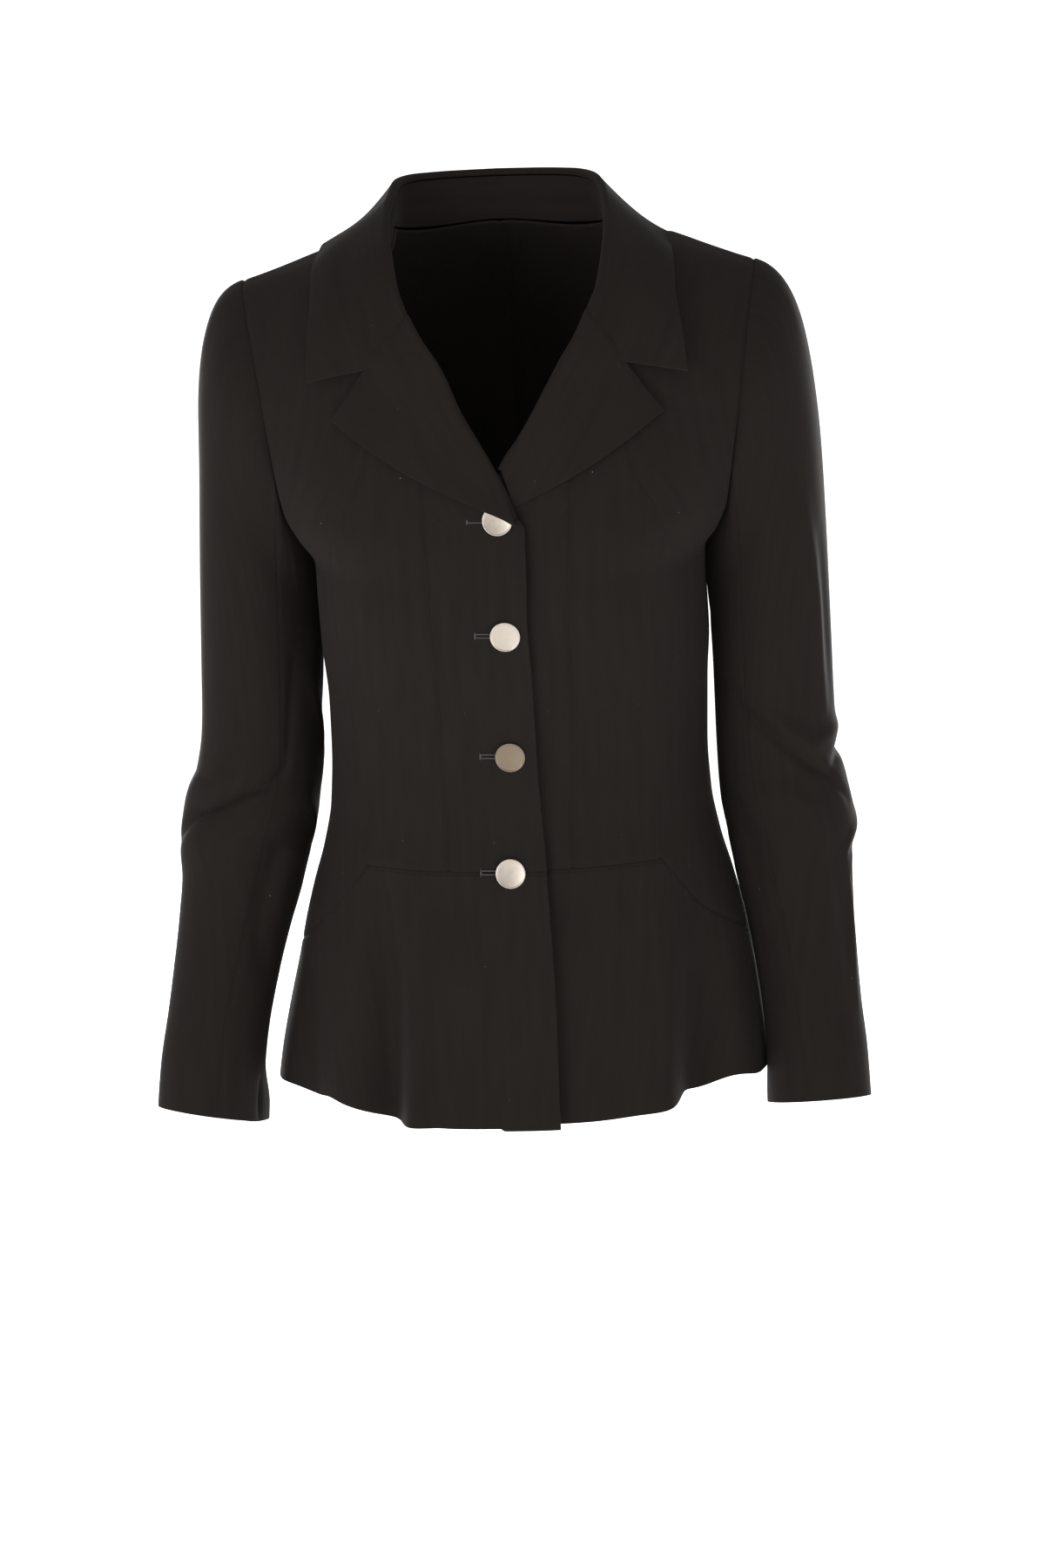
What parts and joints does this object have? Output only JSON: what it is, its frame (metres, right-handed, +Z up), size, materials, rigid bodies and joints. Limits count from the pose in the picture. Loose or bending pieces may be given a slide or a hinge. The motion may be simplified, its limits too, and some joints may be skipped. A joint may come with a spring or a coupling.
{
  "type": "blazer",
  "caption": "Fitted single-breasted blazer in matte near-black cloth, hollow as worn, with notched lapels, metal buttons, long sleeves and a flared basque below the waist.",
  "frame": {"origin": "between the shoulders at the foot of the neck, where the wearer's shoulders carry it", "axes": "+Z up along the wearer, +Y to the wearer's back, +X to the wearer's left"},
  "size_m": [0.511, 0.2704, 0.67],
  "materials": {
    "cloth": "matte near-black crepe",
    "metal": "pale satin metal"
  },
  "bodies": {
    "root": {"front_right": "cloth", "middle_front_right": "cloth", "side_front_right": "cloth", "basque_right": "cloth", "back_right": "cloth", "lapel_right": "cloth", "sleeve_top_right": "cloth", "sleeve_under_right": "cloth", "front_left": "cloth", "middle_front_left": "cloth", "side_front_left": "cloth", "basque_left": "cloth", "back_left": "cloth", "lapel_left": "cloth", "sleeve_top_left": "cloth", "sleeve_under_left": "cloth", "collar": "cloth", "collar_stand": "cloth", "button_1": "metal", "button_2": "metal", "button_3": "metal", "button_4": "metal"}
  },
  "joints": []
}
